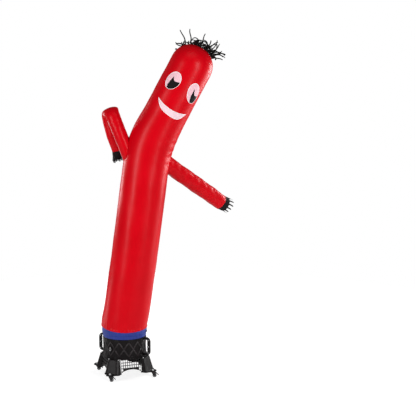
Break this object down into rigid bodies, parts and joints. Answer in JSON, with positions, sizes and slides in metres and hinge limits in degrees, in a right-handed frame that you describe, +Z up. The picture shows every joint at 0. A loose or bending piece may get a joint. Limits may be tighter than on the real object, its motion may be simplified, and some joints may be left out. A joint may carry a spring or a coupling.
{
  "type": "inflatable air dancer on blower",
  "caption": "Tall inflated cloth tube figure with a smiling face, two waving arms, fringe hair and hands, standing on a wheeled blower housing.",
  "frame": {"origin": "middle of the whole thing's footprint box, on the floor", "axes": "+Z up, -Y towards the face side, +X towards the side that the tube leans to"},
  "size_m": [1.4632, 0.9008, 3.5031],
  "materials": {
    "red_cloth": "thin glossy nylon",
    "blue_cloth": "satin nylon",
    "white_cloth": "matt nylon",
    "black_cloth": "matt nylon",
    "black_plastic": "satin",
    "grip_plastic": "matt",
    "dark_steel": "dark plated",
    "tyre_rubber": "matt"
  },
  "bodies": {
    "blower": {"blower_drum": "black_plastic", "handle_right": "grip_plastic", "handle_left": "grip_plastic", "leg_front": "black_plastic", "leg_right": "black_plastic", "leg_back": "black_plastic", "leg_left": "black_plastic", "grille_front": "black_plastic", "grille_right": "black_plastic", "grille_back": "black_plastic", "grille_left": "black_plastic", "switch_housing": "black_plastic", "belt": "blue_cloth", "belt_toggle": "black_plastic", "body_front": "red_cloth", "body_back": "red_cloth", "arm_right": "red_cloth", "arm_left": "red_cloth", "hand_cuff_right": "black_cloth", "hand_cuff_left": "black_cloth", "hand_fringe_right": "black_cloth", "hand_fringe_left": "black_cloth", "eye_white_left": "white_cloth", "eye_white_right": "white_cloth", "pupil_left": "black_cloth", "pupil_right": "black_cloth", "smile": "white_cloth", "hair": "black_cloth"},
    "swivel_front": {"caster_fork_front": "dark_steel"},
    "wheel_front": {"caster_wheel_front": "tyre_rubber"},
    "brake_front": {"brake_pedal_front": "dark_steel"},
    "swivel_right": {"caster_fork_right": "dark_steel"},
    "wheel_right": {"caster_wheel_right": "tyre_rubber"},
    "brake_right": {"brake_pedal_right": "dark_steel"},
    "swivel_back": {"caster_fork_back": "dark_steel"},
    "wheel_back": {"caster_wheel_back": "tyre_rubber"},
    "brake_back": {"brake_pedal_back": "dark_steel"},
    "swivel_left": {"caster_fork_left": "dark_steel"},
    "wheel_left": {"caster_wheel_left": "tyre_rubber"},
    "brake_left": {"brake_pedal_left": "dark_steel"},
    "rocker": {"switch_rocker": "grip_plastic"}
  },
  "joints": [
    {"name": "swivel_turn_front", "type": "hinge", "parent": "blower", "child": "swivel_front", "pos_m": [-0.53107, -0.4145, 0.058], "axis": [0, 0, 1], "continuous": true},
    {"name": "wheel_spin_front", "type": "hinge", "parent": "swivel_front", "child": "wheel_front", "pos_m": [-0.51507, -0.4145, 0.02], "axis": [0, 1, 0], "continuous": true},
    {"name": "brake_press_front", "type": "hinge", "parent": "swivel_front", "child": "brake_front", "pos_m": [-0.50107, -0.4145, 0.046], "axis": [0, 1, 0], "range_deg": [-22, 0]},
    {"name": "swivel_turn_right", "type": "hinge", "parent": "blower", "child": "swivel_right", "pos_m": [-0.10651, -0.24982, 0.058], "axis": [0, 0, 1], "continuous": true},
    {"name": "wheel_spin_right", "type": "hinge", "parent": "swivel_right", "child": "wheel_right", "pos_m": [-0.09051, -0.24982, 0.02], "axis": [0, 1, 0], "continuous": true},
    {"name": "brake_press_right", "type": "hinge", "parent": "swivel_right", "child": "brake_right", "pos_m": [-0.07651, -0.24982, 0.046], "axis": [0, 1, 0], "range_deg": [-22, 0]},
    {"name": "swivel_turn_back", "type": "hinge", "parent": "blower", "child": "swivel_back", "pos_m": [-0.27119, 0.17474, 0.058], "axis": [0, 0, 1], "continuous": true},
    {"name": "wheel_spin_back", "type": "hinge", "parent": "swivel_back", "child": "wheel_back", "pos_m": [-0.25519, 0.17474, 0.02], "axis": [0, 1, 0], "continuous": true},
    {"name": "brake_press_back", "type": "hinge", "parent": "swivel_back", "child": "brake_back", "pos_m": [-0.24119, 0.17474, 0.046], "axis": [0, 1, 0], "range_deg": [-22, 0]},
    {"name": "swivel_turn_left", "type": "hinge", "parent": "blower", "child": "swivel_left", "pos_m": [-0.69575, 0.01006, 0.058], "axis": [0, 0, 1], "continuous": true},
    {"name": "wheel_spin_left", "type": "hinge", "parent": "swivel_left", "child": "wheel_left", "pos_m": [-0.67975, 0.01006, 0.02], "axis": [0, 1, 0], "continuous": true},
    {"name": "brake_press_left", "type": "hinge", "parent": "swivel_left", "child": "brake_left", "pos_m": [-0.66575, 0.01006, 0.046], "axis": [0, 1, 0], "range_deg": [-22, 0]},
    {"name": "rocker_tilt", "type": "hinge", "parent": "blower", "child": "rocker", "pos_m": [-0.53516, -0.29998, 0.305], "axis": [0.8022, -0.597, 0], "range_deg": [-12, 0]}
  ]
}
